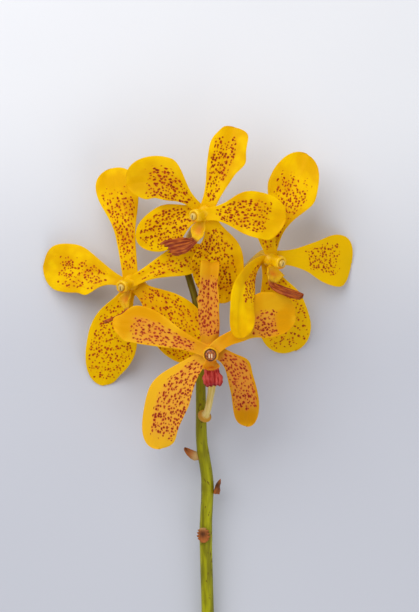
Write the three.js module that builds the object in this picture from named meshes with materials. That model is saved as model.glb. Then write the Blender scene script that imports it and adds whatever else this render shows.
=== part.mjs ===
// A cut vanda orchid stem lying on a table: one stalk, three dry bracts and four spotted flowers.
// Millimetres, +Y along the stalk towards the flowers, +Z up from the table.
// Angles are degrees. A heading turns anticlockwise from +X, a rise lifts from the table plane.

import * as THREE from "three";

// Stalk and its bracts
const STALK_SIDES = 12;
const STALK_ROUTE = [
  [0.3, -148, 2.1],
  [-0.2, -124, 3.1],
  [-0.6, -102, 4.3],
  [-1.2, -76, 5.9],
  [-0.7, -59, 7.2],
  [-2.5, -46, 8.6],
  [-2.8, -34, 9.6],
  [-3, -20, 10.4],
  [-3.3, -9, 10.8],
  [-4.4, 0.5, 11],
  [-6.4, 8, 11],
  [-7.4, 11.5, 11.2],
];
const STALK_STEPS = 44;
const STALK_RADIUS_AT_CUT = 2.05;
const STALK_RADIUS_AT_TIP = 1.15;
const STALK_TAPER_FROM = 0.3;
const STALK_TAPER_TO = 0.9;
const BRACTS = [
  { name: "bract_upper", at: 0.428, side: [180, 10], heading: 160, rise: 14, sweep: -40, roll: 10,
    length: 5, halfWidth: 1.6 },
  { name: "bract_middle", at: 0.35, side: [0, 25], heading: 76, rise: 8, sweep: -24, roll: -72, cup: -35,
    baseCup: -35, length: 4.2, halfWidth: 1.4 },
  { name: "bract_lower", at: 0.267, side: [150, 70], heading: 97, rise: 14, roll: -12, cup: -52,
    baseCup: -52, tip: 2.5, length: 3.8, halfWidth: 2.2 },
];
const BRACT_SHAPE = { widest: 0.2, tip: 1.2, cup: 30 };

// Flower parts that are the same size on every flower
const FOOT_RADIUS = 2.5;
const SEPAL_SETBACK = 2.1;
const PETAL_SETBACK = 0.4;
const COLUMN_BACK = 2.2;
const COLUMN_LENGTH = 4.6;
const COLUMN_RADIUS = 1.95;
const COLUMN_WAIST = 0.14;
const CAP_RADIUS = 1.9;
const CAP_HEIGHT = 1.5;
const PEDICEL = { radius: 1, heel: 0.45, heelLength: 0.08, ovary: 1.45, ovaryFrom: 0.45, ovaryTo: 0.85 };
const OVARY_NECK = 3;
const TOUCH_GAP = 0.3;
const TISSUE_HALF = 0.42;
const MARGIN_HALF = 0.2;
const TIP_THINNING = 0.45;
const LEAST_HALF_WIDTH = 0.5;

// Lip: half-width and upturn at its two swellings, each centred at a share of its length
const LIP_HALF_WIDTH = 1.1;
const LIP_THROAT = { at: 0.24, spread: 0.17, widen: 1.9, upturn: 70 };
const LIP_LOBE = { at: 0.76, spread: 0.2, widen: 1.5 };
const LIP_UPTURN = 12;
const LIP_THIN = 0.33;
const LIP_THICK = 0.6;

// Mesh fineness
const PETAL_ROWS = 12;
const PETAL_COLUMNS = 4;
const MIDRIB_STEPS = 48;
const LIP_ROWS = 10;
const TUBE_SIDES = 8;
const PEDICEL_STEPS = 14;
const COLUMN_STEPS = 4;

// Each blade starts at the foot of the column. Its midrib turns by sweep and by curl along its length.
// left and right are the half-widths either side of the midrib, claw is the half-width at the base.
// foot is the heading of its seat round the column, where that isn't the heading of the blade itself.
const BLADE = {
  sweep: 0, sweepPower: 1, curl: 0, bend: 0, bendFrom: 0.8, roll: 0, twist: 0, cup: 12, baseCup: 25,
  claw: 2.2, widest: 0.62, swell: 1, tip: 2.3,
};

const FLOWERS = [
  {
    name: "top",
    centre: [-2.1, 29.7, 28],
    face: [197, 50],
    pedicel: [[-7.65, 12.3, 11.25], [-8.4, 16.6, 12], [-6, 24, 16], [-1.2, 29.4, 21.2]],
    lip: {
      route: [[-2.5, 27.3, 27.5], [-3.8, 23.2, 27.6], [-6.4, 20.3, 27.6], [-15.4, 17.9, 29]],
      across: [[0.8, -0.3, 0.3], [0.25, -0.97, 0]],
    },
    blades: {
      dorsal_sepal: { heading: 68, rise: 4, length: 27, sweep: 8, curl: -14, cup: 20, claw: 2.5,
        left: 6.1, right: 5.8, widest: 0.72, tip: 7 },
      petal_left: { foot: 150, heading: 135, rise: 11, length: 26.4, sweep: 64, sweepPower: 1.4,
        curl: -30, claw: 1.8, left: 6.5, right: 8.9, widest: 0.54, swell: 1.7, tip: 2.2 },
      petal_right: { heading: 4, rise: 2, length: 24.7, sweep: -14, curl: -10, left: 6.9, right: 7.8,
        widest: 0.64, tip: 2.2 },
      lateral_sepal_left: { heading: 185, rise: -5, length: 24.1, sweep: 46, curl: -20, claw: 2.4,
        left: 8, right: 6.1, widest: 0.52 },
      lateral_sepal_right: { heading: 294, rise: -17, length: 28.7, sweep: -32, roll: -8, claw: 2.4,
        left: 7.2, right: 10, widest: 0.52 },
    },
  },
  {
    name: "left",
    centre: [-26.6, 7.3, 15],
    face: [207, 58],
    pedicel: [[-5.45, -10.6, 10.8], [-7.2, -9.6, 10.6], [-12, -4, 9.4], [-18, 2, 9]],
    lip: {
      route: [[-26.85, 5, 14.5], [-27.2, 1, 14.6], [-27.9, -2.5, 16], [-34, -5.2, 18.6]],
      across: [[0.72, -0.2, 0.6], [0.3, 0.1, 0.95]],
    },
    blades: {
      dorsal_sepal: { heading: 94, rise: 2, length: 36.2, sweep: 14, curl: -10, claw: 2.5, left: 6.8,
        right: 7.2, widest: 0.8, swell: 1.8, tip: 2.4 },
      petal_left: { foot: 178, heading: 158, rise: -8, length: 31.6, sweep: 22, curl: -34, claw: 1.7,
        left: 8.4, right: 8.1, tip: 2.6 },
      petal_right: { heading: 30, rise: 8, length: 27, sweep: -22, claw: 2, left: 5, right: 5.2,
        widest: 0.65, swell: 1.2, tip: 2.4 },
      lateral_sepal_left: { heading: 243, rise: -11, length: 36.4, sweep: 20, curl: -17, claw: 2.4,
        left: 8.8, right: 7.6, widest: 0.52, tip: 2.2 },
      lateral_sepal_right: { heading: 323, rise: 4, length: 31.6, sweep: -30, claw: 2.4, left: 9.4,
        right: 8.8, widest: 0.6, tip: 2.2 },
    },
  },
  {
    name: "right",
    centre: [20.6, 15.2, 20],
    face: [336, 49],
    pedicel: [[-2.7, 1.2, 11.4], [-0.4, 2, 11.8], [5, 6, 12.6], [11.6, 11.6, 13.6]],
    lip: {
      route: [[20.7, 12.8, 19.6], [20.4, 9.6, 20.2], [21.4, 6.2, 21.6], [30.2, 2.8, 22.4]],
      across: [[0.75, 0.25, -0.6], [0.3, 0.3, -0.9]],
    },
    blades: {
      dorsal_sepal: { heading: 76, rise: 0, length: 34.4, sweep: -13, curl: -10, claw: 2, left: 7.9,
        right: 8.2, swell: 1.6, tip: 2.4 },
      petal_left: { heading: 112, rise: 10, length: 18.5, sweep: -40, curl: -5, left: 4, right: 4,
        widest: 0.6, tip: 2.2 },
      petal_right: { heading: 1, rise: -28, length: 31.3, sweep: -8, curl: -14, claw: 2.4, left: 8.8,
        right: 8.8, widest: 0.78, swell: 1.2, tip: 2.4 },
      lateral_sepal_left: { heading: 184, rise: 48, length: 32.2, sweep: 96, sweepPower: 0.42, curl: -42,
        roll: -55, twist: 30, claw: 2.4, left: 5.6, right: 4.2, widest: 0.5, tip: 5 },
      lateral_sepal_right: { heading: 282, rise: -18.8, length: 35, sweep: 14, curl: -23, claw: 2.4,
        left: 8.8, right: 9, widest: 0.6, tip: 2.4 },
    },
  },
  {
    name: "front",
    centre: [0.3, -15.1, 30],
    face: [270, 84],
    pedicel: [[-1.55, -36.4, 11.95], [-0.8, -35, 13.4], [0.1, -31, 14.6], [0.8, -25.2, 18.4]],
    lip: {
      route: [[0.3, -17.5, 29.3], [0.5, -20.2, 29.8], [0.8, -21.8, 32], [1.3, -25.2, 37.6]],
      across: [[1, 0, 0], [1, 0, 0]],
    },
    blades: {
      dorsal_sepal: { heading: 92, rise: 4, length: 29.3, sweep: -6, curl: 4, bend: -110, bendFrom: 0.78,
        cup: 48, baseCup: -55, claw: 3.3, left: 3.9, right: 3.2, widest: 0.5, tip: 5 },
      petal_left: { heading: 156, rise: -5, length: 31.5, sweep: 36, sweepPower: 3, curl: -10, claw: 2.2,
        left: 6, right: 6.6, widest: 0.68, tip: 2.2 },
      petal_right: { heading: 44, rise: -15, length: 30.4, sweep: -50, curl: -10, claw: 2.1, left: 9,
        right: 5.8, widest: 0.66, swell: 1.7, tip: 2.2 },
      lateral_sepal_left: { heading: 217, rise: -5, length: 36.5, sweep: 56, curl: -20, claw: 2.6,
        left: 6.6, right: 6.4, widest: 0.5, tip: 5 },
      lateral_sepal_right: { heading: 352, rise: -5, length: 28.8, sweep: -92, sweepPower: 0.5, curl: -20,
        claw: 2.2, left: 3.8, right: 4.9, widest: 0.5, tip: 5 },
    },
  },
];

// Colours
const TISSUE = { roughness: 0.5, metalness: 0 };
const STALK_GREEN = new THREE.MeshStandardMaterial({ color: 0x8c8a18, ...TISSUE });
const PEDICEL_GREEN = new THREE.MeshStandardMaterial({ color: 0xd6bf62, ...TISSUE });
const PETAL_YELLOW = new THREE.MeshStandardMaterial({ color: 0xeeb40a, ...TISSUE });
const LIP_RED = new THREE.MeshStandardMaterial({ color: 0xb4552a, ...TISSUE });
const COLUMN_YELLOW = new THREE.MeshStandardMaterial({ color: 0xe8a012, ...TISSUE });
const CAP_BROWN = new THREE.MeshStandardMaterial({ color: 0x8a4a1e, ...TISSUE });
const BRACT_BROWN = new THREE.MeshStandardMaterial({ color: 0xa8642e, roughness: 0.8, metalness: 0 });

const radians = THREE.MathUtils.degToRad;
const rampUp = THREE.MathUtils.smoothstep;
const vector = (xyz) => new THREE.Vector3(...xyz);

// Unit vector with a heading in the table plane and a rise above it
function direction(heading, rise) {
  const flat = Math.cos(radians(rise));
  return new THREE.Vector3(
    Math.cos(radians(heading)) * flat,
    Math.sin(radians(heading)) * flat,
    Math.sin(radians(rise)),
  );
}

// Part of v at right angles to axis, at unit length
function squareTo(axis, v) {
  return v.clone().addScaledVector(axis, -v.dot(axis)).normalize();
}

// One closed body from rings of equal size, with its two ends shut by flat fans
function ringsToSolid(rings) {
  const sides = rings[0].length;
  const last = rings.length - 1;
  const points = rings.flat();
  const faces = [];
  for (let i = 0; i < last; i++) {
    for (let j = 0; j < sides; j++) {
      const a = i * sides + j;
      const b = i * sides + ((j + 1) % sides);
      faces.push(a, b, b + sides, a, b + sides, a + sides);
    }
  }
  for (let j = 1; j < sides - 1; j++) {
    faces.push(0, j + 1, j);
    faces.push(last * sides, last * sides + j, last * sides + j + 1);
  }
  return meshFrom(points, faces);
}

function meshFrom(points, faces) {
  const geometry = new THREE.BufferGeometry();
  geometry.setAttribute("position", new THREE.Float32BufferAttribute(points.flatMap((p) => p.toArray()), 3));
  geometry.setIndex(faces);
  geometry.computeVertexNormals();
  return geometry;
}

// One closed body between two sheets of the same grid, joined round their margins
function sheetToSolid(upper, lower) {
  const across = upper[0].length;
  const rings = upper.map((row, i) => [...row, ...[...lower[i]].reverse()]);
  const solid = [];
  const size = 2 * across;
  for (let i = 0; i < rings.length - 1; i++) {
    for (let j = 0; j < size; j++) {
      const a = i * size + j;
      const b = i * size + ((j + 1) % size);
      solid.push(a, a + size, b + size, a, b + size, b);
    }
  }
  const end = (rings.length - 1) * size;
  for (let j = 0; j < across - 1; j++) {
    const mirror = size - 1 - j;
    solid.push(j, j + 1, mirror - 1, j, mirror - 1, mirror);
    solid.push(end + j, end + mirror - 1, end + j + 1, end + j, end + mirror, end + mirror - 1);
  }
  return meshFrom(rings.flat(), solid);
}

// Smooth curve through hand-placed points
function routeCurve(points) {
  return new THREE.CatmullRomCurve3(points.map(vector), false, "catmullrom", 0.5);
}

// Round solid of changing radius along a curve, its frame carried along without twisting
function sweptTube(curve, steps, sides, radiusAt) {
  const rings = [];
  let side = null;
  for (let i = 0; i <= steps; i++) {
    const t = i / steps;
    const tangent = curve.getTangent(t);
    side = squareTo(tangent, side ?? new THREE.Vector3(1, 0.2, 0.1));
    const up = tangent.clone().cross(side);
    const centre = curve.getPoint(t);
    const ring = [];
    for (let j = 0; j < sides; j++) {
      const angle = (2 * Math.PI * j) / sides;
      const offset = side.clone().multiplyScalar(Math.cos(angle)).addScaledVector(up, Math.sin(angle));
      ring.push(centre.clone().addScaledVector(offset, radiusAt(t)));
    }
    rings.push(ring);
  }
  return ringsToSolid(rings);
}

// Share of the blade's full width at t: a narrow claw that swells to the widest place, then a round tip
function bladeShare(blade, t) {
  if (t < blade.widest) return rampUp((t / blade.widest) ** blade.swell, 0, 1);
  const beyond = (t - blade.widest) / (1 - blade.widest);
  return Math.sqrt(Math.max(0, 1 - beyond ** blade.tip));
}

function bladeHeading(blade, t) {
  return blade.heading + blade.sweep * t ** blade.sweepPower;
}

// Direction of the midrib at t. The last part may also bend up or down.
function bladeDirection(blade, t) {
  const rise = blade.rise + blade.curl * t + blade.bend * rampUp(t, blade.bendFrom, 1);
  return direction(bladeHeading(blade, t), rise);
}

// Points of the midrib, found by stepping along its changing direction
function midribPoints(blade, start) {
  const points = [start.clone()];
  for (let i = 0; i < MIDRIB_STEPS; i++) {
    const u = (i + 0.5) / MIDRIB_STEPS;
    points.push(points[i].clone().addScaledVector(bladeDirection(blade, u), blade.length / MIDRIB_STEPS));
  }
  return points;
}

// Closed solid of one petal or sepal
function bladeSolid(blade, start) {
  const rib = midribPoints(blade, start);
  const upper = [];
  const lower = [];
  for (let i = 0; i <= PETAL_ROWS; i++) {
    const t = (i / PETAL_ROWS) ** 0.9;
    const whole = Math.min(Math.floor(t * MIDRIB_STEPS), MIDRIB_STEPS - 1);
    const centre = rib[whole].clone().lerp(rib[whole + 1], t * MIDRIB_STEPS - whole);
    const along = bladeDirection(blade, t);
    const level = direction(bladeHeading(blade, t) + 90, 0);
    const roll = radians(blade.roll + blade.twist * t);
    const across = level.applyAxisAngle(along, roll);
    const normal = along.clone().cross(across);
    const cup = radians(THREE.MathUtils.lerp(blade.baseCup, blade.cup, rampUp(t, 0, 0.5)));
    const row = arcRow({ centre, across, normal, cup, ...bladeSection(blade, t) });
    upper.push(row.upper);
    lower.push(row.lower);
  }
  return sheetToSolid(upper, lower);
}

// Half-width and half-thickness of a blade at t, as functions of the place s across it, -1 to 1
function bladeSection(blade, t) {
  const tipFade = 1 - TIP_THINNING * rampUp(t, blade.widest, 1);
  const share = bladeShare(blade, t);
  const half = (s) => {
    const full = s > 0 ? blade.left : blade.right;
    const swollen = t < blade.widest ? blade.claw + (full - blade.claw) * share : full * share;
    return Math.max(LEAST_HALF_WIDTH, swollen);
  };
  const thick = (s) => (MARGIN_HALF + (TISSUE_HALF - MARGIN_HALF) * (1 - s * s)) * tipFade;
  return { half, thick };
}

// Upper and lower points of a sheet across its midrib, on an arc that bends by cup at each margin
function arcRow({ centre, across, normal, cup, half, thick }) {
  const upper = [];
  const lower = [];
  for (let j = 0; j <= PETAL_COLUMNS; j++) {
    const s = (2 * j) / PETAL_COLUMNS - 1;
    const bend = cup * s;
    const middle = centre.clone()
      .addScaledVector(across, (half(s) * Math.sin(bend)) / cup)
      .addScaledVector(normal, (half(s) * (1 - Math.cos(bend))) / cup);
    const outward = normal.clone().multiplyScalar(Math.cos(bend)).addScaledVector(across, -Math.sin(bend));
    upper.push(middle.clone().addScaledVector(outward, thick(s)));
    lower.push(middle.clone().addScaledVector(outward, -thick(s)));
  }
  return { upper, lower };
}

// Smooth hump of height 1, for a swelling centred at a share of a length
function hump(t, { at, spread }) {
  return Math.exp(-(((t - at) / spread) ** 2));
}

// Lip: a cupped throat with raised side lobes, a waist, and a thick middle lobe
function lipSolid(lip) {
  const curve = routeCurve(lip.route);
  const [acrossStart, acrossEnd] = lip.across.map(vector);
  const upper = [];
  const lower = [];
  for (let i = 0; i <= LIP_ROWS; i++) {
    const t = i / LIP_ROWS;
    const along = curve.getTangent(t);
    const across = squareTo(along, acrossStart.clone().lerp(acrossEnd, rampUp(t, 0, 1)));
    const normal = along.clone().cross(across);
    const throat = hump(t, LIP_THROAT);
    const lobe = hump(t, LIP_LOBE);
    const half = LIP_HALF_WIDTH + LIP_THROAT.widen * throat + LIP_LOBE.widen * lobe;
    const cup = radians(LIP_UPTURN + LIP_THROAT.upturn * throat);
    const thick = THREE.MathUtils.lerp(LIP_THIN, LIP_THICK, lobe);
    const centre = curve.getPoint(t);
    const row = arcRow({ centre, across, normal, cup, half: () => half, thick: () => thick });
    upper.push(row.upper);
    lower.push(row.lower);
  }
  return sheetToSolid(upper, lower);
}

// Column: a short thick stub through the middle of the flower, a little narrower at its mouth
function columnSolid(centre, face) {
  const back = centre.clone().addScaledVector(face, -COLUMN_BACK);
  const front = centre.clone().addScaledVector(face, COLUMN_LENGTH);
  const curve = new THREE.LineCurve3(back, front);
  const radiusAt = (t) => COLUMN_RADIUS * (1 - COLUMN_WAIST * Math.sin(Math.PI * t));
  return sweptTube(curve, COLUMN_STEPS, TUBE_SIDES, radiusAt);
}

// Cap over the pollen, a low dome just clear of the column's mouth
function antherCapMesh(name, centre, face) {
  const dome = new THREE.SphereGeometry(CAP_RADIUS, 10, 6);
  dome.scale(1, CAP_HEIGHT / CAP_RADIUS, 1);
  const mesh = new THREE.Mesh(dome, CAP_BROWN);
  mesh.name = name;
  mesh.position.copy(centre).addScaledVector(face, COLUMN_LENGTH + CAP_HEIGHT + TOUCH_GAP);
  mesh.quaternion.setFromUnitVectors(new THREE.Vector3(0, 1, 0), face);
  return mesh;
}

// Pedicel: from the stalk to the back of the flower, thickening into the ovary
function pedicelSolid(route, centre, face) {
  const back = centre.clone().addScaledVector(face, -COLUMN_BACK - TOUCH_GAP);
  const neck = back.clone().addScaledVector(face, -OVARY_NECK);
  const curve = routeCurve([...route, neck.toArray(), back.toArray()]);
  const radiusAt = (t) => {
    const heel = PEDICEL.heel * hump(t, { at: 0, spread: PEDICEL.heelLength });
    const ovary = (PEDICEL.ovary - PEDICEL.radius) * rampUp(t, PEDICEL.ovaryFrom, PEDICEL.ovaryTo);
    return PEDICEL.radius + heel + ovary;
  };
  return sweptTube(curve, PEDICEL_STEPS, TUBE_SIDES, radiusAt);
}

function stalkRadius(t) {
  const taper = rampUp(t, STALK_TAPER_FROM, STALK_TAPER_TO);
  return THREE.MathUtils.lerp(STALK_RADIUS_AT_CUT, STALK_RADIUS_AT_TIP, taper);
}

function bractSolid(bract, stalk) {
  const outward = squareTo(stalk.getTangent(bract.at), direction(...bract.side));
  const start = stalk.getPoint(bract.at)
    .addScaledVector(outward, stalkRadius(bract.at) + TOUCH_GAP + TISSUE_HALF);
  const half = { claw: bract.halfWidth, left: bract.halfWidth, right: bract.halfWidth };
  return bladeSolid({ ...BLADE, ...BRACT_SHAPE, ...bract, ...half }, start);
}

function namedMesh(name, geometry, material) {
  const mesh = new THREE.Mesh(geometry, material);
  mesh.name = name;
  return mesh;
}

function flowerGroup(flower) {
  const group = new THREE.Group();
  const centre = vector(flower.centre);
  const face = direction(...flower.face);
  for (const [bladeName, shape] of Object.entries(flower.blades)) {
    const setback = bladeName.includes("sepal") ? SEPAL_SETBACK : PETAL_SETBACK;
    const blade = { ...BLADE, ...shape };
    const start = centre.clone()
      .addScaledVector(squareTo(face, direction(blade.foot ?? blade.heading, 0)), FOOT_RADIUS)
      .addScaledVector(face, -setback);
    group.add(namedMesh(`${flower.name}_${bladeName}`, bladeSolid(blade, start), PETAL_YELLOW));
  }
  group.add(namedMesh(`${flower.name}_lip`, lipSolid(flower.lip), LIP_RED));
  group.add(namedMesh(`${flower.name}_column`, columnSolid(centre, face), COLUMN_YELLOW));
  group.add(antherCapMesh(`${flower.name}_anther_cap`, centre, face));
  group.add(namedMesh(`${flower.name}_pedicel`, pedicelSolid(flower.pedicel, centre, face), PEDICEL_GREEN));
  return group;
}

const spray = new THREE.Group();
const stalk = routeCurve(STALK_ROUTE);
spray.add(namedMesh("stem", sweptTube(stalk, STALK_STEPS, STALK_SIDES, stalkRadius), STALK_GREEN));
for (const bract of BRACTS) spray.add(namedMesh(bract.name, bractSolid(bract, stalk), BRACT_BROWN));
for (const flower of FLOWERS) spray.add(flowerGroup(flower));

// Rest the spray on the plane z = 0 with its plan centred on the origin
const box = new THREE.Box3().setFromObject(spray);
const middle = box.getCenter(new THREE.Vector3());
spray.position.set(-middle.x, -middle.y, -box.min.z);

export default spray;
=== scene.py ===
import math

import bmesh
import bpy
import numpy as np
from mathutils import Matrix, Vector


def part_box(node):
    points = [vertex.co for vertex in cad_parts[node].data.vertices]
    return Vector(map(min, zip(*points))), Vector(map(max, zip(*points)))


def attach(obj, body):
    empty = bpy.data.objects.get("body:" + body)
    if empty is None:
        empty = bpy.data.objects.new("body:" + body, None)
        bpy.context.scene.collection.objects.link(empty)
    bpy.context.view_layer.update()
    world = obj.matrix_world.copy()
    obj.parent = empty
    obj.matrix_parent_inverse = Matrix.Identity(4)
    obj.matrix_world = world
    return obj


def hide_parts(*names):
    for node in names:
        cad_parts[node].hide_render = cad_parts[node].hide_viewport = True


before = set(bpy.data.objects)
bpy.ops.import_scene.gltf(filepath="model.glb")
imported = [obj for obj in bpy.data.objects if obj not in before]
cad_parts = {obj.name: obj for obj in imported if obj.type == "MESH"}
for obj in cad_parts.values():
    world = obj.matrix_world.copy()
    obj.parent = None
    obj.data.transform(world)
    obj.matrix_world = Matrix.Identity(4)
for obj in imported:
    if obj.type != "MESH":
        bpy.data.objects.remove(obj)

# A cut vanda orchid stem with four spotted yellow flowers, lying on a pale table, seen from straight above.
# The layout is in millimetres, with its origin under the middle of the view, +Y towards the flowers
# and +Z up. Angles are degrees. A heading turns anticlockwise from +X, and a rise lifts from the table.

# Stalk and its bracts
STALK_ROUTE = [
    (0.3, -148, 2.1), (-0.2, -124, 3.1), (-0.6, -102, 4.3), (-1.2, -76, 5.9), (-0.7, -59, 7.2),
    (-2.5, -46, 8.6), (-2.8, -34, 9.6), (-3, -20, 10.4), (-3.3, -9, 10.8), (-4.4, 0.5, 11),
    (-6.4, 8, 11), (-7.4, 11.5, 11.2),
]
STALK_RADIUS_AT_CUT = 2.05
STALK_RADIUS_AT_TIP = 1.15
STALK_TAPER_FROM = 0.3
STALK_TAPER_TO = 0.9
NODE_LENGTH = 0.012
NODE_LIFT = 0.1
# Extra rings that close the stalk's two ends: share of its radius, and shift towards the tip
CUT_END = [(0.03, 0.22), (0.3, 0.2), (0.55, 0.14), (0.8, 0.05), (0.93, 0), (0.985, 0)]
TIP_END = [(0.9, 0.15), (0.7, 0.4), (0.45, 0.6), (0.2, 0.7), (0.02, 0.75)]

# Flower parts that are the same size on every flower
FOOT_RADIUS = 2.5
SEPAL_SETBACK = 2.1
PETAL_SETBACK = 0.4
COLUMN_BACK = 2.2
COLUMN_LENGTH = 4.6
COLUMN_RADIUS = 1.95
COLUMN_BOTTOM = -2.4
COLUMN_FOOT_SWELLING = 0.85
COLUMN_MOUTH = 4.2
COLLAR_SWELLING = 0.25
COLLAR_HEIGHT = 0.75
CAP_HEIGHT = 1.5
CAP_SEAT = 4.5
CAP_RADIUS = 1.2
CAP_RISE = 1.1
TOUCH_GAP = 0.3
OVARY_NECK = 3
PEDICEL_RADIUS = 1.12
OVARY_SWELLING = 0.42
RIB_SHARE = 0.11
TISSUE_HALF = 0.42
MARGIN_HALF = 0.2
TIP_THINNING = 0.45
SEAT_DEPTH = 1.5
BRACT_SEAT_DEPTH = 1.3
UNDERSIDE_DOTS = 0.35

# Mesh fineness
BLADE_ROWS = 64
BLADE_COLUMNS = 28
RIB_STEPS = 48
LIP_ROWS = 54
LIP_COLUMNS = 36
BRACT_ROWS = 40
BRACT_COLUMNS = 20
STALK_ROWS = 420
STALK_SIDES = 40
PEDICEL_ROWS = 110
TUBE_SIDES = 36

# A blade is a petal or a sepal. Its midrib turns by sweep and by curl along its length.
# left and right are its half-widths, claw is the half-width at its base, foot the heading of its seat.
# edges are swellings of the outline: side, place along the blade, spread and amount in mm.
# ruffle is how far its margins wave up and down in mm, and waves how often.
# dots are where its spots lie: start, full, fade and end along it, the left and right limits, and density.
# painted_light paints light and shade on it: darker below 0.5 and lighter above. blush warms its base, and
# tone all of it.
BLADE = dict(
    foot=None, sweep=0, power=1, curl=0, bend=0, bend_from=0.8, roll=0, twist=0, cup=12, base_cup=25,
    claw=2.2, widest=0.62, swell=1, tip=2.3, edges=(), ruffle=0.35, waves=2.2,
    dots=(0.06, 0.16, 0.6, 0.78, 0.8, 0.8, 0.8), painted_light=0.5, blush=0.25, tone=0.0,
)

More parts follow.
